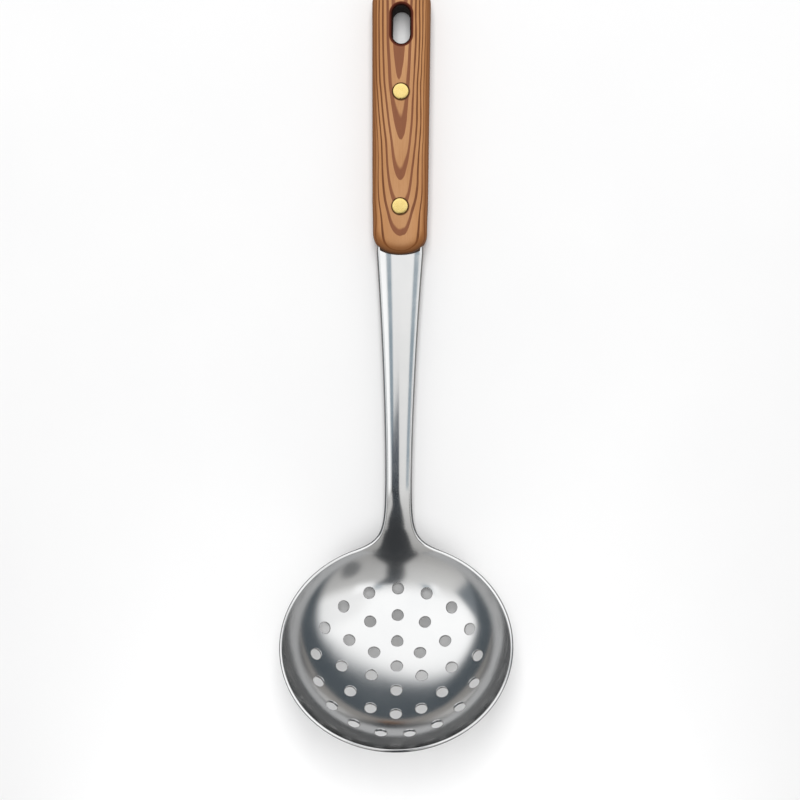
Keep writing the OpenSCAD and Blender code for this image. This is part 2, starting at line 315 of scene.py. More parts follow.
# even spacing along the curve, leaving out the sliver next to the corner
run = np.concatenate([[0], np.cumsum(np.linalg.norm(np.diff(side, axis=0), axis=1))])
at = np.concatenate([[3.2], np.linspace(4.2, run[-1], 44)])[:-1]
side = np.stack([np.interp(at, run, side[:, 0]), np.interp(at, run, side[:, 1])], 1)
lane_v = np.linspace(1, -1, LANES + 1)             # from the right edge to the left edge
top_row = np.stack([lane_v * w_top, np.full(LANES + 1, TOP_Y)], 1)
left_side = side[::-1] * np.array([-1, 1])
plan = [arc_p[:, :2], left_side[::-1], top_row[::-1], side[::-1]]
n_arc, n_side, n_top = len(arc), len(side), LANES + 1
ring = np.concatenate(plan)                        # clockwise from the right corner
grid = hex_grid(-22, 22, -100, TOP_Y, 0.85)
grid = grid[inside(ring, grid)]
grid = grid[~near_any(grid, ring, 0.5)]
plan_pts = np.concatenate([ring, grid])
ring_ids = list(range(len(ring)))
tris = triangulate(plan_pts, [ring_ids], lambda c, t: inside(ring, c))
fresh = plan_pts[n_arc:]
ids = list(arc) + add_points(np.column_stack([fresh, neck_z(fresh[:, 0], fresh[:, 1])]), neck_normal(fresh[:, 0], fresh[:, 1]))
TRIS += [[ids[i] for i in t] for t in tris]
left_ids = ids[n_arc:n_arc + n_side]                                   # from the rim up
top_ids = ids[n_arc + n_side:n_arc + n_side + n_top][::-1]             # from right to left
right_ids = ids[n_arc + n_side + n_top:n_arc + 2 * n_side + n_top]     # from the shank down to the rim

# ---- shank ----
TANG_FLAT = FRONT_Y + 16.0
rows = [top_ids]
for y in np.concatenate([np.linspace(TOP_Y, FRONT_Y - 2, 66)[1:], np.linspace(FRONT_Y - 2, TANG_FLAT, 17)[1:]]):
    hw, sh = float(half_w(y)), float(edge_share(y))
    x = lane_v * (hw - EDGE_E)
    z = TANG_Z + sh * hw * (x / hw) ** 2
    d = 0.5
    gx = 2 * sh * x / hw
    zy = lambda q: TANG_Z + edge_share(q) * half_w(q) * (x / half_w(q)) ** 2
    gy = (zy(y + d) - zy(y - d)) / (2 * d)
    n = np.column_stack([-gx, -gy, np.ones_like(gx)])
    rows.append(add_points(np.column_stack([x, np.full_like(x, y), z]), n))
for a, b in zip(rows[:-1], rows[1:]):
    for j in range(LANES):
        # right to left along the row, towards the butt between rows
        TRIS.append([a[j], b[j], b[j + 1], a[j + 1]])
last = rows[-1]

# ---- tang ----
w_tang = W_TANG - EDGE_E
end_y, end_r = TANG_END - EDGE_E, 5.0
ys = np.linspace(TANG_FLAT, end_y - end_r, 24)[1:]
right_up = np.column_stack([np.full(len(ys), w_tang), ys])
a = np.linspace(0, pi / 2, 9)[1:]
corner_pts = np.column_stack([w_tang - end_r + end_r * np.cos(a), end_y - end_r + end_r * np.sin(a)])
right_up = np.concatenate([right_up, corner_pts])
last_xy = np.array([P[i][:2] for i in last])
tang_ring = np.concatenate([last_xy, (right_up * np.array([-1, 1])), right_up[::-1]])
tang_pts = [tang_ring]
tang_holes, count = [], len(tang_ring)
for y in RIVET_Y:
    b = -np.arange(40) * 2 * pi / 40
    for k, rad in enumerate((2.65 + HOLE_E, 3.8, 5.2)):
        tang_pts.append(np.stack([rad * np.cos(b), y + rad * np.sin(b)], 1))
        if k == 0:
            tang_holes.append(list(range(count, count + 40)))
        count += 40
grid = hex_grid(-w_tang + 1.1, w_tang - 1.0, TANG_FLAT, end_y, 2.2)
grid = grid[inside(tang_ring, grid)]
grid = grid[~near_any(grid, np.concatenate(tang_pts), 1.2)]
grid = grid[~near_any(grid, np.array([[0, y] for y in RIVET_Y]), 6.0)]
tang_pts = np.concatenate(tang_pts + [grid])
t_hole = np.full(len(tang_pts), -1)
for k, loop in enumerate(tang_holes):
    t_hole[loop] = k


def tang_keep(c, tris):
    h = t_hole[tris]
    return inside(tang_ring, c) & ~((h[:, 0] >= 0) & (h[:, 0] == h[:, 1]) & (h[:, 1] == h[:, 2]))


tris = triangulate(tang_pts, [list(range(len(tang_ring)))] + tang_holes, tang_keep)
fresh = tang_pts[len(last):]
ids = list(last) + add_points(np.column_stack([fresh, np.full(len(fresh), TANG_Z)]), np.tile([0.0, 0, 1], (len(fresh), 1)))
TRIS += [[ids[i] for i in t] for t in tris]
n_l, n_r = len(last), len(right_up)
tang_left = ids[n_l:n_l + n_r]
tang_right = ids[n_l + n_r:n_l + 2 * n_r]            # from the end back to the shank
tang_hole_ids = [[ids[i] for i in loop] for loop in tang_holes]

# ---- the sheet's outline, anticlockwise as seen from above ----
left_edge = [r[-1] for r in rows[1:]]
right_edge = [r[0] for r in rows[1:]]
# free_rim runs from the neck's left corner round the tip to its right corner
outer_loop = (free_rim + right_ids[::-1] + [top_ids[0]] + right_edge + tang_right[::-1]
              + tang_left[::-1] + left_edge[::-1] + [top_ids[-1]] + left_ids[::-1])
P, N = np.array(P), np.array(N)
N /= np.linalg.norm(N, axis=1)[:, None]


def thicken(loops):
    """The closed sheet: both faces, and a rounded edge along every loop (material on the left of the loop)."""
    count = len(P)
    verts = [P + N * SHEET_T / 2, P - N * SHEET_T / 2]
    norms = [N, -N]
    faces = [list(t) for t in TRIS] + [[i + count for i in t][::-1] for t in TRIS]
    total = 2 * count
    for loop, e, up, lip in loops:
        p, n = P[loop], N[loop]
        t = np.roll(p, -1, 0) - np.roll(p, 1, 0)
        t /= np.linalg.norm(t, axis=1)[:, None]
        out = np.cross(t, n)
        out /= np.linalg.norm(out, axis=1)[:, None]
        rows = [np.array(loop)]
        # the edge's normal turns from the front face (0) to the back face (pi); the flat lies where it looks up most
        lip = np.broadcast_to(lip, len(loop))[:, None]
        mid = np.clip(np.arctan2(out[:, 2], n[:, 2]), 0.6, 1.75)[:, None]
        t1, t2 = mid - 0.1, mid + 0.1
        flat = LIP_W / 0.2
        r2 = (SHEET_T - LIP_R * (1 - np.cos(t1)) - flat * (np.cos(t1) - np.cos(t2))) / (1 + np.cos(t2))

        def ground(th):
            """Way along the sheet and down through it from the front face, where the normal has turned by th."""
            a, b, c = np.minimum(th, t1), np.clip(th, t1, t2), np.maximum(th, t2)
            along = LIP_R * np.sin(a) + flat * (np.sin(b) - np.sin(t1)) + r2 * (np.sin(c) - np.sin(t2))
            through = LIP_R * (1 - np.cos(a)) + flat * (np.cos(t1) - np.cos(b)) + r2 * (np.cos(t2) - np.cos(c))
            return along, through

        def rounded(th):
            rise = np.where(th <= pi / 2, up, SHEET_T - 0.05 - up)
            a = np.arctan2(e * np.sin(th), rise * np.abs(np.cos(th)))
            through = rise * (1 - np.cos(a))
            return e * np.sin(a), np.where(th <= pi / 2, through, SHEET_T - through)

        reach = e - ground(np.full_like(mid, pi / 2))[0]
        stops = [np.full_like(mid, 0.14), (t1 + 0.14) / 2, t1, t2] + [t2 + (3.0 - t2) * k / 7 for k in range(1, 8)]
        for th in stops:
            (along, through), (along2, through2) = rounded(th), ground(th)
            along = along + (along2 + reach - along) * lip
            through = through + (through2 - through) * lip
            verts.append(p + out * along + n * (SHEET_T / 2 - through))
            norms.append(out * np.sin(th) + n * np.cos(th))
            rows.append(np.arange(total, total + len(loop)))
            total += len(loop)
        rows.append(np.array(loop) + count)
        for a, b in zip(rows[:-1], rows[1:]):
            for i in range(len(loop)):
                j = (i + 1) % len(loop)
                faces.append([a[i], b[i], b[j], a[j]])
    return np.concatenate(verts), faces, np.concatenate(norms)


v, f, n = thicken([(outer_loop, EDGE_E, EDGE_UP, smooth01((0.93 - N[outer_loop][:, 2]) / 0.12))]
                  + [(loop, HOLE_E, HOLE_UP, 0.0) for loop in hole_loops + tang_hole_ids])
blade = new_object("blade_steel", v, f, n)


# ---------------------------------------------------------------------------
# The handle's two scales
# ---------------------------------------------------------------------------
def handle_outline(d, n=22):
    """Outline of the handle drawn in by d, anticlockwise from the middle of the front end."""
    def width(y):
        return (26.4 + 2.0 * (y - FRONT_Y) / 131.0 - 0.5 * smooth01((76.0 - y) / 14.0)) / 2
    a = np.linspace(0, pi / 2, n + 1)
    q = 2 / 2.12
    w, e = width(FRONT_Y + 10 + 1.1 * d) - d, 10 - 0.6 * d       # the front end is rounded over further than the sides
    front = np.stack([w * np.sin(a) ** q, FRONT_Y + 1.7 * d + e * (1 - np.cos(a) ** q)], 1)
    w, e = width(BUTT_Y - 11) - d, 11 - d
    butt = np.stack([w * np.cos(a) ** q, BUTT_Y - d - e * (1 - np.sin(a) ** q)], 1)
    ys = np.concatenate([np.linspace(FRONT_Y + 16.5, 78.0, 7), np.linspace(78.0, BUTT_Y - 11, 13)[1:-1]])
    mids = np.stack([width(ys) - d, ys], 1)
    right = np.concatenate([front, mids, butt])
    left = right[1:-1][::-1] * np.array([-1, 1])
    return np.concatenate([right, left])


def stadium(grow, n=20):
    """Outline of the hanging slot, grown by that much, clockwise."""
    r, s = SLOT_W / 2 + grow, (SLOT_L - SLOT_W) / 2
    a = np.linspace(0, pi, n + 1)
    top = np.stack([-r * np.cos(a), SLOT_Y + s + r * np.sin(a)], 1)
    low = np.stack([r * np.cos(a), SLOT_Y - s - r * np.sin(a)], 1)
    sides = np.linspace(top[-1], low[0], 7)[1:-1]
    back = np.linspace(low[-1], top[0], 7)[1:-1]
    return np.concatenate([top, sides, low, back])


def circle(y, r, n=48):
    a = -np.arange(n) * 2 * pi / n
    return np.stack([r * np.cos(a), y + r * np.sin(a)], 1)


def scale_half(name, rear):
    """One scale: joint plane, side, rounded edge and flat face, with its slot, rivet holes and recesses."""
    verts, faces = [], []

    def ring(pts, z):
        start = len(verts)
        verts.extend([(p[0], p[1], z) for p in pts])
        return list(range(start, start + len(pts)))

    def wall(a, b, hole=False):
        for i in range(len(a)):
            j = (i + 1) % len(a)
            faces.append([a[i], b[i], b[j], a[j]] if hole else [a[i], a[j], b[j], b[i]])

    top = HANDLE_T
    levels = [(0.18, TANG_Z), (0.0, TANG_Z + 0.18)]
    levels += [(0.0, TANG_Z + 2.4)]
    for a in np.linspace(0, pi / 2, 13):
        levels.append((EDGE_R * (1 - cos(a)), top - EDGE_R * (1 - sin(a))))
    outer = [ring(handle_outline(d), z) for d, z in levels]
    for a, b in zip(outer[:-1], outer[1:]):
        wall(a, b)
    face_outer = ring(handle_outline(EDGE_R + 0.35), top)
    wall(outer[-1], face_outer)

    # slot: rounded mouth, straight wall to the joint
    slot_levels = [(SLOT_ROUND * (1 - sin(a)), top - SLOT_ROUND * (1 - cos(a))) for a in np.linspace(0, pi / 2, 9)]
    slot_rings = [ring(stadium(SLOT_ROUND + 0.25), top)] + [ring(stadium(g), z) for g, z in slot_levels]
    slot_rings.append(ring(stadium(0), TANG_Z + 0.12))
    slot_rings.append(ring(stadium(0.12), TANG_Z))
    for a, b in zip(slot_rings[:-1], slot_rings[1:]):
        wall(a, b, True)
    hole_rings = []
    for y in RIVET_Y:
        rs = [ring(circle(y, r), z) for r, z in ((4.3, top), (4.12, top), (4.05, top - 0.07), (4.05, top - 1.6),
                                                  (2.55, top - 1.6), (2.55, TANG_Z))]
        for a, b in zip(rs[:-1], rs[1:]):
            wall(a, b, True)
        hole_rings.append(rs)

    def plane(outline, holes, z, up, step):
        loop_ids = outline + [i for h in holes for i in h]
        pts = np.array([verts[i][:2] for i in loop_ids])
        cuts, at = [], len(outline)
        for h in holes:
            cuts.append(list(range(at, at + len(h))))
            at += len(h)
        polys = [pts[c] for c in cuts]
        edge = pts[:len(outline)]
        g = hex_grid(-15, 15, FRONT_Y, BUTT_Y, step)
        g = g[inside(edge, g)]
        for poly in polys:
            g = g[~inside(poly, g)]
        g = g[~near_any(g, pts, step * 0.6)]
        ids = loop_ids + ring(g, z)
        allp = np.concatenate([pts, g])

        def keep(c, t):
            ok = inside(edge, c)
            for poly in polys:
                ok &= ~inside(poly, c)
            return ok
        for t in triangulate(allp, [list(range(len(outline)))] + cuts, keep):
            t = [ids[i] for i in t]
            faces.append(t if up else t[::-1])

    plane(face_outer, [slot_rings[0]] + [r[0] for r in hole_rings], top, True, 2.6)
    plane(outer[0], [slot_rings[-1]] + [r[-1] for r in hole_rings], TANG_Z, False, 4.0)
    v = np.array(verts)
    if rear:
        v[:, 2] = HANDLE_T - v[:, 2]
        faces = [f[::-1] for f in faces]
    return new_object(name, v, faces)


def tang_cutter():
    """Closed strip a little larger than the tang, for its pocket in the scales."""
    ys = np.concatenate([np.linspace(FRONT_Y - 3, TANG_FLAT, 24), [TANG_END + 0.3]])
    vs = np.linspace(1, -1, 25)
    up, low = [], []
    for y in ys:
        hw, sh = float(half_w(min(y, TANG_END))) + 0.15, float(edge_share(y))
        for q in vs:
            z = TANG_Z + sh * hw * q * q
            up.append((q * hw, y, z + SHEET_T / 2 + 0.05))
            low.append((q * hw, y, z - SHEET_T / 2 - 0.05))
    k, rows_ = len(vs), len(ys)
    off = len(up)
    faces = []
    for i in range(rows_ - 1):
        for j in range(k - 1):
            p = i * k + j
            faces.append([p, p + k, p + k + 1, p + 1])
            faces.append([off + p, off + p + 1, off + p + k + 1, off + p + k])
        p = i * k
        faces.append([p, off + p, off + p + k, p + k])
        p = i * k + k - 1
        faces.append([p, p + k, off + p + k, off + p])
    for j in range(k - 1):
        faces.append([j, j + 1, off + j + 1, off + j])
        p = (rows_ - 1) * k + j
        faces.append([p, off + p, off + p + 1, p + 1])
    return new_object("tang_cutter", up + low, faces)


cutter = tang_cutter()
scales = []
for name, rear in (("front_scale_wood", False), ("rear_scale_wood", True)):
    obj = scale_half(name, rear)
    mod = obj.modifiers.new("pocket", "BOOLEAN")
    mod.operation, mod.solver, mod.object = "DIFFERENCE", "EXACT", cutter
    deps = bpy.context.evaluated_depsgraph_get()
    cut = bpy.data.meshes.new_from_object(obj.evaluated_get(deps))
    obj.modifiers.clear()
    old = obj.data
    obj.data = cut
    bpy.data.meshes.remove(old)
    cut.name = name
    cut.polygons.foreach_set("use_smooth", [True] * len(cut.polygons))
    cut.set_sharp_from_angle(angle=radians(32))
    scales.append(obj)
bpy.data.objects.remove(cutter)


# ---------------------------------------------------------------------------
# Rivets
# ---------------------------------------------------------------------------
def arc_pts(cx, cz, r, a0, a1, n):
    return [(cx + r * cos(radians(a)), cz + r * sin(radians(a))) for a in np.linspace(a0, a1, n)]


def lathe(name, y, profile, sharp=30, sides=96):
    """Turned piece about a line along Z at that y. The profile runs from the axis to the axis."""
    verts, faces = [], []
    rings = []
    for r, z in profile:
        if r < 1e-6:
            rings.append([len(verts)])
            verts.append((0, y, z))
        else:
            rings.append(list(range(len(verts), len(verts) + sides)))
            verts += [(r * cos(2 * pi * k / sides), y + r * sin(2 * pi * k / sides), z) for k in range(sides)]
    for a, b in zip(rings[:-1], rings[1:]):
        for k in range(sides):
            j = (k + 1) % sides
            if len(a) == 1:
                faces.append([a[0], b[j], b[k]])
            elif len(b) == 1:
                faces.append([a[k], a[j], b[0]])
            else:
                faces.append([a[k], a[j], b[j], b[k]])
    return new_object(name, verts, faces, sharp=sharp)


def pin_profile():
    top = HANDLE_T + 0.5
    head = [(3.86, 16.4)] + arc_pts(3.36, 17.95, 0.5, 0, 82, 8)
    crown = [(3.0, top - 0.026), (2.4, top - 0.017), (1.6, top - 0.008), (0.8, top - 0.002), (0.0, top)]
    return [(0.0, 3.2), (1.4, 3.2), (1.7, 3.5), (1.7, 16.4)] + head + crown


def tube_profile():
    seat, mouth = 1.6, HANDLE_T - 2.6
    return ([(0.0, 0.012), (2.0, 0.005), (3.2, 0.0), (3.5, 0.0)] + arc_pts(3.5, 0.4, 0.4, -80, 0, 7)
            + [(3.9, seat), (2.5, seat), (2.5, mouth - 0.2), (2.3, mouth), (1.73, mouth), (1.73, 2.6), (0.0, 2.6)])


rivets = []
for which, y in (("lower", RIVET_Y[0]), ("upper", RIVET_Y[1])):
    rivets.append((lathe(which + "_rivet_pin_brass", y, pin_profile()), which + "_rivet_pin"))
    rivets.append((lathe(which + "_rivet_tube_brass", y, tube_profile()), which + "_rivet_tube"))


# ---------------------------------------------------------------------------
# Node helpers
# ---------------------------------------------------------------------------
class Nodes:
    """Short forms for building a node tree."""

    def __init__(self, tree):
        self.tree = tree
        tree.nodes.clear()

    def add(self, kind, **props):
        node = self.tree.nodes.new(kind)
        for k, value in props.items():
            setattr(node, k, value)
        return node

    def put(self, value, socket):
        if hasattr(value, "is_output"):
            self.tree.links.new(value, socket)
        elif value is not None:
            socket.default_value = value

    def math(self, op, a, b=None, c=None, clamp=False):
        node = self.add("ShaderNodeMath", operation=op, use_clamp=clamp)
        for i, value in enumerate((a, b, c)):
            if value is not None:
                self.put(value, node.inputs[i])
        return node.outputs[0]

    def vmath(self, op, a, b=None, scale=None, out=0):
        node = self.add("ShaderNodeVectorMath", operation=op)
        self.put(a, node.inputs[0])
        if b is not None:
            self.put(b, node.inputs[1])
        if scale is not None:
            self.put(scale, node.inputs["Scale"])
        return node.outputs[out]

    def ease(self, x, lo, hi, a=0.0, b=1.0):
        node = self.add("ShaderNodeMapRange", interpolation_type="SMOOTHSTEP")
        self.put(x, node.inputs["Value"])
        for key, value in (("From Min", lo), ("From Max", hi), ("To Min", a), ("To Max", b)):
            self.put(value, node.inputs[key])
        return node.outputs["Result"]

    def line(self, x, lo, hi, a=0.0, b=1.0):
        node = self.add("ShaderNodeMapRange", interpolation_type="LINEAR")
        self.put(x, node.inputs["Value"])
        for key, value in (("From Min", lo), ("From Max", hi), ("To Min", a), ("To Max", b)):
            self.put(value, node.inputs[key])
        return node.outputs["Result"]

    def mix(self, t, a, b, blend="MIX"):
        node = self.add("ShaderNodeMix", data_type="RGBA", blend_type=blend)
        self.put(t, node.inputs[0])
        self.put(tuple(a) + (1.0,) if isinstance(a, (tuple, list)) and len(a) == 3 else a, node.inputs[6])
        self.put(tuple(b) + (1.0,) if isinstance(b, (tuple, list)) and len(b) == 3 else b, node.inputs[7])
        return node.outputs[2]

    def noise(self, vector, scale, detail=2.0, rough=0.5, dims="3D", out=0):
        node = self.add("ShaderNodeTexNoise", noise_dimensions=dims)
        if dims != "1D":
            self.put(vector, node.inputs["Vector"])
        else:
            self.put(vector, node.inputs["W"])
        node.inputs["Scale"].default_value = scale
        node.inputs["Detail"].default_value = detail
        node.inputs["Roughness"].default_value = rough
        return node.outputs[out]

    def combine(self, x, y, z):
        node = self.add("ShaderNodeCombineXYZ")
        for i, value in enumerate((x, y, z)):
            self.put(value, node.inputs[i])
        return node.outputs[0]

    def bump(self, height, distance, strength=1.0, normal=None):
        node = self.add("ShaderNodeBump")
        node.inputs["Distance"].default_value = distance
        node.inputs["Strength"].default_value = strength
        self.put(height, node.inputs["Height"])
        if normal is not None:
            self.put(normal, node.inputs["Normal"])
        return node.outputs[0]

    def coords_mm(self):
        """Object coordinates in millimetres, as a vector and as its three parts."""
        tex = self.add("ShaderNodeTexCoord")
        vec = self.vmath("SCALE", tex.outputs["Object"], scale=1000.0)
        sep = self.add("ShaderNodeSeparateXYZ")
        self.tree.links.new(vec, sep.inputs[0])
        return vec, sep.outputs[0], sep.outputs[1], sep.outputs[2]

    def surface(self, kind="MATERIAL"):
        out = self.add("ShaderNodeOutputMaterial" if kind == "MATERIAL" else "ShaderNodeOutputWorld")
        if kind == "MATERIAL":
            bsdf = self.add("ShaderNodeBsdfPrincipled")
            self.tree.links.new(bsdf.outputs[0], out.inputs["Surface"])
            return bsdf
        return out


def material(name):
    mat = bpy.data.materials.new(name)
    mat.use_nodes = True
    return mat, Nodes(mat.node_tree)


def wear(obj, mat):
    obj.data.materials.clear()
    obj.data.materials.append(mat)


# ---------------------------------------------------------------------------
# Steel
# ---------------------------------------------------------------------------
def steel_material():
    mat, n = material("bright_steel")
    bsdf = n.surface()
    vec, x, y, z = n.coords_mm()
    bsdf.inputs["Metallic"].default_value = 1.0
    # 0 on the polished shank, 1 in the satin bowl
    in_bowl = n.ease(y, -84.0, -100.0)
    # fine drawing lines along the shank, faint turning lines in the bowl
    drawn = n.noise(n.combine(n.math("MULTIPLY", x, 9.0), n.math("MULTIPLY", y, 0.06), n.math("MULTIPLY", z, 4.0)), 1.0, 3.0, 0.6)
    cy = n.math("SUBTRACT", y, BOWL_Y)
    cz = n.math("SUBTRACT", z, BOWL_Z)
    by = n.math("SUBTRACT", n.math("MULTIPLY", cy, cos(TILT)), n.math("MULTIPLY", cz, sin(TILT)))
    radius = n.math("SQRT", n.math("ADD", n.math("MULTIPLY", x, x), n.math("MULTIPLY", by, by)))
    turned = n.noise(n.math("MULTIPLY", radius, 5.0), 1.0, 3.0, 0.6, dims="1D")
    smudge = n.noise(vec, 0.045, 4.0, 0.55)
    grain = n.noise(vec, 2.2, 2.0, 0.6)
    rough = n.line(in_bowl, 0, 1, 0.075, 0.155)
    rough = n.math("ADD", rough, n.line(smudge, 0.3, 0.7, -0.015, 0.03))
    rough = n.math("ADD", rough, n.line(grain, 0.3, 0.7, -0.008, 0.012), clamp=True)
    n.put(rough, bsdf.inputs["Roughness"])
    n.put(n.mix(n.line(smudge, 0.3, 0.7), (0.64, 0.646, 0.652), (0.68, 0.682, 0.685)), bsdf.inputs["Base Color"])
    lines = n.mix(in_bowl, n.combine(drawn, drawn, drawn), n.combine(turned, turned, turned))
    n.put(n.bump(lines, 0.000004, 0.35), bsdf.inputs["Normal"])
    return mat


# ---------------------------------------------------------------------------
# Wood
# ---------------------------------------------------------------------------
def wood_material(name, rear):
    """Plain-sawn softwood. The face shows nested arches that point at the bowl: rings are counted along the handle
    and with the square of the distance from its middle. Distances across are in steps of 0.479 mm."""
    mat, n = material(name)
    bsdf = n.surface()
    vec, x, y, z = n.coords_mm()
    at_x, at_y = x, y
    if rear:
        # another board: its arches are shifted and its heart side is down
        z = n.math("SUBTRACT", HANDLE_T, z)
        y = n.math("ADD", n.math("MULTIPLY", y, 0.92), 16.0)
        x = n.math("MULTIPLY", x, -1.0)
    along = n.math("MULTIPLY", n.math("SUBTRACT", 103.14, y), 1 / 29.69)          # grows towards the bowl
    wave = n.noise(n.combine(n.math("MULTIPLY", x, 0.05), n.math("MULTIPLY", y, 0.018), n.math("MULTIPLY", z, 0.05)), 1.0, 2.0, 0.5)
    wave2 = n.noise(n.combine(n.math("MULTIPLY", x, 0.25), n.math("MULTIPLY", y, 0.05), n.math("ADD", n.math("MULTIPLY", z, 0.25), 7.3)), 1.0, 2.0, 0.5)
    px = n.math("MULTIPLY", x, 2.088)
    px = n.math("ADD", px, n.line(wave, 0.25, 0.75, -1.0, 1.0))
    px = n.math("ADD", px, n.line(wave2, 0.25, 0.75, -0.3, 0.3))
    px = n.math("ADD", px, n.line(along, -0.94, 0.0, 2.0, -0.6))
    drop = n.math("SUBTRACT", HANDLE_T, z)
    # rings counted along the middle of the face
    ring = n.math("MULTIPLY_ADD", along, 0.0371, 0.3478)
    ring = n.math("MULTIPLY_ADD", along, ring, 1.3107)
    ring = n.math("MULTIPLY", along, ring)
    bend = n.math("ADD", n.ease(along, 0.0, 1.1, 0.0090, 0.0055), n.ease(along, 1.05, 1.9, 0.0, -0.0038))
    bend = n.math("MULTIPLY", bend, n.ease(n.math("ABSOLUTE", px), 8.0, 21.0, 1.0, 0.86))
    ring = n.math("ADD", ring, n.math("MULTIPLY", n.math("MULTIPLY", px, px), bend))
    ring = n.math("ADD", ring, n.math("MULTIPLY", n.math("MULTIPLY", drop, drop), n.ease(at_y, 60.0, 51.0, 0.045, 0.075)))
    ringv = n.noise(n.math("MULTIPLY", ring, 0.45), 1.0, 1.0, 0.5, dims="1D")
    ring = n.math("ADD", ring, n.line(ringv, 0.25, 0.75, -0.06, 0.06))
    ring = n.math("ADD", ring, n.line(wave2, 0.25, 0.75, -0.05, 0.05))
    frac = n.math("SUBTRACT", ring, n.math("FLOOR", ring))               # 0 just outside a ring, 1 at the next
    # late wood: a rise inside, an abrupt stop outside; thickest in the second arch
    side = n.ease(n.math("ABSOLUTE", px), 6.0, 22.0)
    start = n.math("ADD", n.ease(ring, -0.985, -1.015, 0.38, 0.48), n.ease(ring, -0.2, 0.3, 0.0, 0.20))
    start = n.math("ADD", start, n.line(side, 0, 1, 0.0, -0.07))
    end = n.ease(along, 1.45, 1.72)
    outer = n.ease(ring, 2.9, 3.1)
    start = n.math("ADD", start, n.math("ADD", n.line(end, 0, 1, 0.0, 0.08), n.line(outer, 0, 1, 0.0, 0.17)))
    late = n.math("MULTIPLY", n.ease(frac, start, n.math("ADD", start, n.math("ADD", n.line(side, 0, 1, 0.13, 0.09), n.line(end, 0, 1, 0.0, -0.05)))), n.ease(frac, 0.99, 0.955))
    # fibres and pores along the grain
    fib = n.noise(n.combine(n.math("MULTIPLY", x, 3.4), n.math("MULTIPLY", y, 0.09), n.math("MULTIPLY", z, 3.4)), 1.0, 4.0, 0.62)
    fine = n.noise(n.combine(n.math("MULTIPLY", x, 11.0), n.math("MULTIPLY", y, 0.35), n.math("MULTIPLY", z, 11.0)), 1.0, 2.0, 0.6)
    mottle = n.noise(n.combine(n.math("MULTIPLY", x, 0.12), n.math("MULTIPLY", y, 0.03), n.math("MULTIPLY", z, 0.12)), 1.0, 3.0, 0.55)
    early = n.mix(n.line(mottle, 0.3, 0.7), (0.44, 0.222, 0.100), (0.53, 0.286, 0.139))
    early = n.mix(n.ease(fib, 0.45, 0.75, 0.0, 0.5), early, (0.39, 0.175, 0.070))
    early = n.mix(n.math("MULTIPLY", side, 0.45), early, (0.43, 0.185, 0.060))
    dark = n.mix(n.math("MAXIMUM", side, n.math("MAXIMUM", end, n.math("MULTIPLY", outer, 0.8))), (0.205, 0.076, 0.039), (0.085, 0.026, 0.008))
    dark = n.mix(n.ease(fib, 0.35, 0.7, 0.0, 0.35), dark, (0.27, 0.105, 0.050))
    color = n.mix(n.math("MULTIPLY", late, 0.95), early, dark)
    color = n.mix(n.ease(fine, 0.56, 0.78, 0.0, 0.22), color, (0.22, 0.088, 0.038))
    # painted shade: darker colour where the edges are rounded over and turn away from the light
    painted_edge_shade = n.ease(drop, 0.03, 1.2)
    color = n.mix(n.math("MULTIPLY", painted_edge_shade, 0.70), color, (0.215, 0.072, 0.017))
    # painted shade on the rounded front end, which faces away from the light
    tip = n.math("MULTIPLY", n.ease(at_y, 58.0, 50.5), n.ease(drop, 0.1, 3.0))
    color = n.mix(n.math("MULTIPLY", tip, 0.55), color, (0.130, 0.044, 0.009))
    # painted shade: a dark ring round each rivet head, off-centre towards its lower right, for the shadow in the gap
    # of its counterbore
    ring_r = None
    for ry in RIVET_Y:
        dx = n.math("SUBTRACT", at_x, 0.10)
        dy = n.math("SUBTRACT", at_y, ry - 0.12)
        r = n.math("SQRT", n.math("ADD", n.math("MULTIPLY", dx, dx), n.math("MULTIPLY", dy, dy)))
        ring_r = r if ring_r is None else n.math("MINIMUM", ring_r, r)
    color = n.mix(n.ease(ring_r, 4.62, 4.2, 0.0, 0.85), color, (0.075, 0.028, 0.010))
    # painted shade in the slot: near black on its wall, fading out over its rounded mouth
    dy = n.math("MAXIMUM", n.math("SUBTRACT", n.math("ABSOLUTE", n.math("SUBTRACT", at_y, SLOT_Y)), (SLOT_L - SLOT_W) / 2), 0.0)
    away = n.math("SQRT", n.math("ADD", n.math("MULTIPLY", at_x, at_x), n.math("MULTIPLY", dy, dy)))
    away = n.math("SUBTRACT", away, SLOT_W / 2)
    painted_slot_shade = n.mix(n.ease(away, 0.1, 1.4), (0.018, 0.004, 0.002), (0.090, 0.016, 0.006))
    color = n.mix(n.ease(away, 1.85, 1.4), color, painted_slot_shade)
    n.put(color, bsdf.inputs["Base Color"])
    rough = n.math("ADD", n.line(late, 0, 1, 0.50, 0.40), n.line(fib, 0.3, 0.7, -0.05, 0.05))
    n.put(rough, bsdf.inputs["Roughness"])
    bsdf.inputs["Specular IOR Level"].default_value = 0.18
    height = n.math("ADD", n.math("MULTIPLY", late, 0.5), n.math("MULTIPLY", fib, 0.6))
    height = n.math("ADD", height, n.math("MULTIPLY", fine, 0.3))
    n.put(n.bump(height, 0.00005, 0.5), bsdf.inputs["Normal"])
    return mat


# ---------------------------------------------------------------------------
# Brass
# ---------------------------------------------------------------------------
def brass_material():
    mat, n = material("rivet_brass")
    bsdf = n.surface()
    vec, x, y, z = n.coords_mm()
    bsdf.inputs["Metallic"].default_value = 1.0
    rub = n.noise(n.combine(n.math("MULTIPLY", x, 7.0), n.math("MULTIPLY", y, 1.1), z), 1.0, 3.0, 0.65)
    cloud = n.noise(vec, 0.55, 3.0, 0.55)
    n.put(n.mix(n.line(cloud, 0.3, 0.7), (0.74, 0.56, 0.20), (0.83, 0.655, 0.26)), bsdf.inputs["Base Color"])
    n.put(n.math("ADD", n.line(rub, 0.3, 0.7, 0.20, 0.32), n.line(cloud, 0.3, 0.7, -0.03, 0.04)), bsdf.inputs["Roughness"])
    n.put(n.bump(rub, 0.000012, 0.5), bsdf.inputs["Normal"])
    return mat


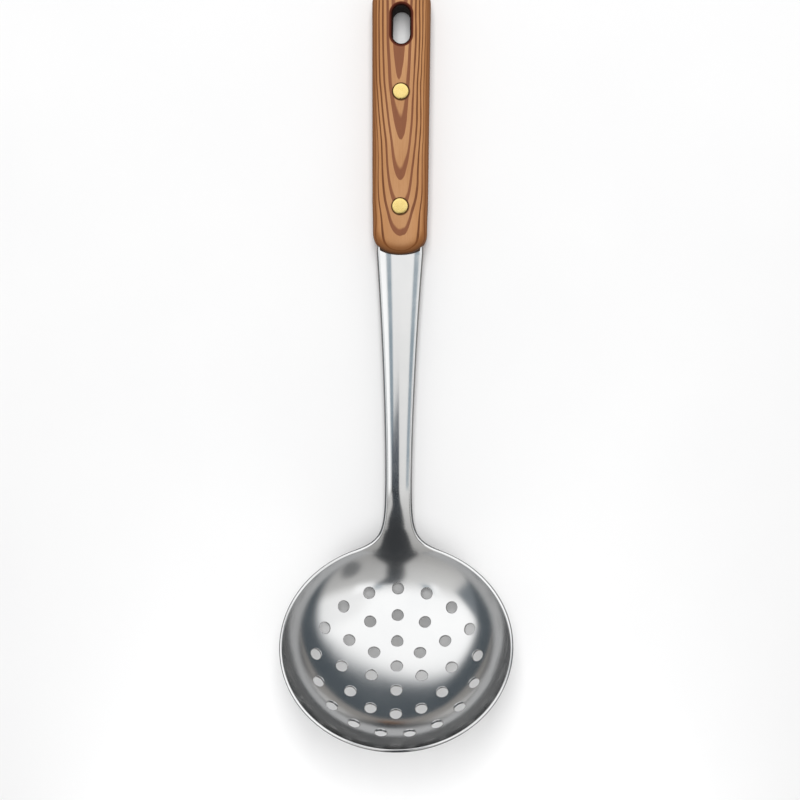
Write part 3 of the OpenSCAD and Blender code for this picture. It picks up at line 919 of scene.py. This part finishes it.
steel = steel_material()
wood = wood_material("handle_wood", False)
wood_rear = wood_material("handle_wood_rear", True)
brass = brass_material()
wear(blade, steel)
wear(scales[0], wood)
wear(scales[1], wood_rear)
for obj, _ in rivets:
    wear(obj, brass)

# ---------------------------------------------------------------------------
# Every piece stands for its node
# ---------------------------------------------------------------------------
for obj, node, slot in ([(blade, "skimmer_blade", "blade_steel"), (scales[0], "front_scale", "handle_wood"),
                         (scales[1], "rear_scale", "handle_wood")] + [(o, nd, "rivet_brass") for o, nd in rivets]):
    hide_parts(node)
    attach(obj, "root")


# ---------------------------------------------------------------------------
# Floor
# ---------------------------------------------------------------------------
def floor():
    size, n = 3.2, 40
    verts, faces = [], []
    for i in range(n + 1):
        for j in range(n + 1):
            verts.append(((-size + 2 * size * j / n) / MM, (-size + 2 * size * i / n) / MM, -0.05))
    for i in range(n):
        for j in range(n):
            p = i * (n + 1) + j
            faces.append([p, p + 1, p + n + 2, p + n + 1])
    obj = new_object("floor", verts, faces)
    mat, nd = material("pale_floor")
    bsdf = nd.surface()
    vec, x, y, z = nd.coords_mm()
    soft = nd.noise(vec, 0.012, 3.0, 0.5)
    pale = nd.mix(nd.line(soft, 0.3, 0.7), (0.86, 0.86, 0.862), (0.875, 0.875, 0.875))
    paths = nd.add("ShaderNodeLightPath")
    # painted reflection: the metal mirrors a floor painted darker than the one the camera sees, grey further off from
    # the bowl
    dy = nd.math("ADD", y, 135.0)
    away = nd.math("SQRT", nd.math("ADD", nd.math("MULTIPLY", x, x), nd.math("MULTIPLY", dy, dy)))
    far = nd.mix(nd.ease(away, 90.0, 200.0), (0.70, 0.69, 0.675), (0.32, 0.305, 0.285))
    # painted dark reflection: the mirrored floor goes near black off the bowl's sides and beyond its end
    outer = nd.math("MAXIMUM", nd.ease(nd.math("ABSOLUTE", x), 52.0, 76.0), nd.ease(y, -190.0, -215.0))
    outer = nd.math("MULTIPLY", outer, nd.math("MULTIPLY", nd.ease(away, 78.0, 105.0), nd.ease(y, 20.0, -20.0)))
    far = nd.mix(outer, far, (0.12, 0.12, 0.12))
    # painted dark reflection: a ring of mirrored floor round the bowl, under its rim, for the rim's thin dark edge
    # line
    dy = nd.math("MULTIPLY", dy, 1.228)
    round_bowl = nd.math("SQRT", nd.math("ADD", nd.math("MULTIPLY", x, x), nd.math("MULTIPLY", dy, dy)))
    rim = nd.math("MULTIPLY", nd.ease(round_bowl, 55.5, 58.0), nd.ease(round_bowl, 105.0, 85.0))
    far = nd.mix(nd.math("MULTIPLY", rim, nd.ease(y, -135.0, -115.0)), far, (0.14, 0.14, 0.14))
    # painted shadow in the mirror: the floor beside the shank is dark for reflections, as if shaded by the shank
    beside = nd.math("MULTIPLY", nd.ease(nd.math("ABSOLUTE", x), 30.0, 20.0), nd.math("MULTIPLY", nd.ease(y, -85.0, -75.0), nd.ease(y, 60.0, 50.0)))
    far = nd.mix(beside, far, (0.10, 0.10, 0.10))
    nd.put(nd.mix(paths.outputs["Is Glossy Ray"], pale, far), bsdf.inputs["Base Color"])
    nd.put(nd.line(soft, 0.3, 0.7, 0.62, 0.7), bsdf.inputs["Roughness"])
    bsdf.inputs["Specular IOR Level"].default_value = 0.2
    wear(obj, mat)
    return obj


floor()

# ---------------------------------------------------------------------------
# Studio light: a white overhead surround with a dim horizon and a dark flag, which the metal mirrors.
# Directions are measured in degrees from straight up: u towards +X, v towards +Y (the butt).
# ---------------------------------------------------------------------------
def studio():
    world = bpy.data.worlds.new("studio")
    scene.world = world
    world.use_nodes = True
    if hasattr(world, "cycles"):
        world.cycles.sampling_method = "NONE"
    n = Nodes(world.node_tree)
    out = n.surface("WORLD")
    tex = n.add("ShaderNodeTexCoord")
    sep = n.add("ShaderNodeSeparateXYZ")
    n.tree.links.new(n.vmath("NORMALIZE", tex.outputs["Generated"]), sep.inputs[0])
    x, y, z = sep.outputs
    th = n.math("MULTIPLY", n.math("ARCCOSINE", n.math("MAXIMUM", n.math("MINIMUM", z, 1.0), -1.0)), 180 / pi)
    flat = n.math("MAXIMUM", n.math("SQRT", n.math("ADD", n.math("MULTIPLY", x, x), n.math("MULTIPLY", y, y))), 1e-5)
    k = n.math("DIVIDE", th, flat)
    u, v = n.math("MULTIPLY", x, k), n.math("MULTIPLY", y, k)

    def both(*masks):
        m = masks[0]
        for other in masks[1:]:
            m = n.math("MULTIPLY", m, other)
        return m

    def band(t, lo, hi, soft):
        return both(n.ease(t, lo - soft, lo + soft), n.ease(t, hi + soft, hi - soft))

    def less(t, edge, soft):
        """1 where t is under the edge."""
        return n.ease(n.math("SUBTRACT", t, edge), soft, -soft)

    # overhead white, dimmer over the bowl's end
    col = n.mix(n.ease(v, 16.0, -12.0), (1.80, 1.80, 1.79), (1.06, 1.05, 1.03))
    col = n.mix(n.line(v, -12.0, -45.0), col, (0.66, 0.65, 0.63))
    col = n.mix(both(n.ease(u, 8.0, 16.0), n.ease(v, 0.0, -12.0, 0.0, 0.5)), col, (0.58, 0.575, 0.56))
    col = n.mix(both(n.ease(u, 13.0, 25.0), n.ease(v, 6.0, 10.0), n.ease(v, 45.0, 25.0, 0.0, 0.25)), col, (0.75, 0.75, 0.745))
    # two brighter panels beside the middle
    low = n.ease(v, 6.2, 5.0)
    wings = both(n.ease(n.math("ABSOLUTE", n.math("ADD", u, 4.5)), 20.0, 22.5), n.ease(n.math("ABSOLUTE", u), 34.0, 30.0), low, n.ease(v, -9.0, -1.0))
    col = n.mix(wings, col, (1.80, 1.80, 1.79))
    # dark towards the horizon, and a dim corner on the left
    across = n.math("DIVIDE", x, flat)
    limit = n.math("ADD", n.line(across, -0.15, 0.35, 69.0, 61.5), n.line(across, 0.6, 0.95, 0.0, 5.0))
    soft = n.line(across, -0.15, 0.5, 3.5, 7.0)
    over = n.math("DIVIDE", n.math("SUBTRACT", th, limit), soft)
    wedge = n.math("MULTIPLY_ADD", n.math("ABSOLUTE", n.math("ADD", v, 3.0)), -0.75, -48.0)
    col = n.mix(less(u, wedge, 4.0), col, (0.30, 0.335, 0.365))
    col = n.mix(n.ease(over, -1.0, 1.0), col, (0.118, 0.142, 0.162))
    col = n.mix(n.ease(z, -0.05, -0.30), col, (0.46, 0.46, 0.455))
    # gaps between the overhead panels
    gap = (0.47, 0.57, 0.64)
    col = n.mix(both(band(u, 10.4, 16.6, 0.6), low, n.ease(v, -2.5, -0.8)), col, gap)
    slant = n.math("SUBTRACT", u, n.line(v, -6, 0, 3.0, 0.0))
    col = n.mix(both(band(slant, -26.0, -19.6, 0.6), low, n.ease(v, -4.5, -2.0)), col, gap)
    # a dim screen on the far right
    du = n.math("MULTIPLY", n.math("SUBTRACT", u, 40.0), 1 / 9.0)
    dv = n.math("MULTIPLY", n.math("ADD", v, 30.0), 1 / 12.0)
    screen = n.math("ADD", n.math("MULTIPLY", du, du), n.math("MULTIPLY", dv, dv))
    col = n.mix(n.ease(screen, 1.5, 0.5, 0.0, 0.9), col, (0.24, 0.245, 0.25))
    # a dark flag over the bowl's end
    left = n.math("ADD", n.line(v, -3.0, -14.0, -3.3, -6.5), n.line(v, -30.0, -46.0, 0.0, -12.0))
    right = n.math("ADD", n.line(v, -3.0, -11.0, 13.5, 8.5), n.line(v, -30.0, -46.0, 0.0, 12.0))
    flag = both(n.math("SUBTRACT", 1.0, less(u, left, 1.0)), less(u, right, 1.0), n.ease(v, -3.0, -5.0), n.ease(z, -0.25, -0.05))
    shade = n.mix(n.ease(v, -5.0, -30.0), (0.090, 0.100, 0.112), (0.066, 0.070, 0.075))
    col = n.mix(flag, col, shade)
    # its pointed end, on one side of the middle
    outer = n.math("ADD", n.line(v, 0.1, -0.95, 0.0, 13.0), n.line(v, -0.95, -2.0, 0.0, 1.5))
    point = both(n.math("SUBTRACT", 1.0, less(u, n.line(v, 0.0, -3.0, -0.7, -3.2), 0.4)), less(u, outer, 0.7), n.ease(v, 0.3, 0.0))
    shade = n.mix(n.ease(v, -1.0, -3.6), (0.175, 0.20, 0.235), (0.060, 0.067, 0.074))
    col = n.mix(both(point, n.ease(v, -5.6, -4.6)), col, shade)
    # plain white for everything that isn't a mirror, and less of it for what is mirrored twice
    paths = n.add("ShaderNodeLightPath")
    shine = n.add("ShaderNodeBackground")
    n.put(col, shine.inputs["Color"])
    again = n.line(paths.outputs["Ray Depth"], 2.0, 3.0, 0.80, 0.50)
    n.put(n.math("ADD", again, n.line(paths.outputs["Ray Depth"], 3.0, 4.0, 0.0, -0.30)), shine.inputs["Strength"])
    even = n.add("ShaderNodeBackground")
    even.inputs["Color"].default_value = (1.0, 1.0, 1.0, 1.0)
    even.inputs["Strength"].default_value = 0.44
    mix = n.add("ShaderNodeMixShader")
    n.put(paths.outputs["Is Glossy Ray"], mix.inputs[0])
    n.tree.links.new(even.outputs[0], mix.inputs[1])
    n.tree.links.new(shine.outputs[0], mix.inputs[2])
    n.tree.links.new(mix.outputs[0], out.inputs["Surface"])


studio()

# Lamps for the wood and the floor: a soft one overhead, and a low one that reaches under the bowl's tip
def lamp(name, place, aim, shape, size, size_y, energy, spread=180.0):
    data = bpy.data.lights.new(name, "AREA")
    data.shape, data.size, data.energy, data.spread = shape, size, energy, radians(spread)
    if shape == "RECTANGLE":
        data.size_y = size_y
    obj = bpy.data.objects.new(name, data)
    obj.location = place
    obj.rotation_euler = (Vector(aim) - Vector(place)).to_track_quat("-Z", "Y").to_euler()
    obj.visible_glossy = False
    scene.collection.objects.link(obj)


lamp("overhead", (0.0, 0.50, 1.60), (0.0, 0.02, 0.0), "RECTANGLE", 0.58, 1.30, 21.6)
lamp("low_front", (0.0, -0.35, 0.075), (0.0, -0.175, 0.0), "RECTANGLE", 0.28, 0.08, 0.100, 90.0)


def lamp_flag():
    """A small oval flag that keeps the overhead lamp out of the bowl's middle."""
    rx, ry, sides = 33.0, 35.0, 48
    verts = [(0.0, -111.0, 53.0)] + [(rx * cos(2 * pi * k / sides), -111.0 + ry * sin(2 * pi * k / sides), 53.0) for k in range(sides)]
    obj = new_object("lamp_flag", verts, [(0, 1 + k, 1 + (k + 1) % sides) for k in range(sides)])
    mat, nd = material("flag_cloth")
    nd.surface().inputs["Base Color"].default_value = (0.05, 0.05, 0.05, 1.0)
    wear(obj, mat)
    for ray in ("camera", "diffuse", "glossy", "transmission", "volume_scatter"):
        setattr(obj, "visible_" + ray, False)


lamp_flag()

# ---------------------------------------------------------------------------
# Camera, straight above
# ---------------------------------------------------------------------------
cam_data = bpy.data.cameras.new("camera")
cam_data.lens = 81.0
cam_data.sensor_width = 36.0
cam_data.clip_end = 20.0
cam = bpy.data.objects.new("camera", cam_data)
scene.collection.objects.link(cam)
cam.location = (0.0170, -0.0209, 0.880)
back = (Vector(cam.location) - Vector((0.00030, -0.0209, 0.0))).normalized()
up = Vector((-sin(radians(0.39)), cos(radians(0.39)), 0.0))
right = up.cross(back).normalized()
up = back.cross(right)
cam.matrix_world = Matrix(((right.x, up.x, back.x, cam.location.x), (right.y, up.y, back.y, cam.location.y),
                           (right.z, up.z, back.z, cam.location.z), (0, 0, 0, 1)))
scene.camera = cam
scene.view_settings.view_transform = "Standard"
scene.view_settings.look = "None"
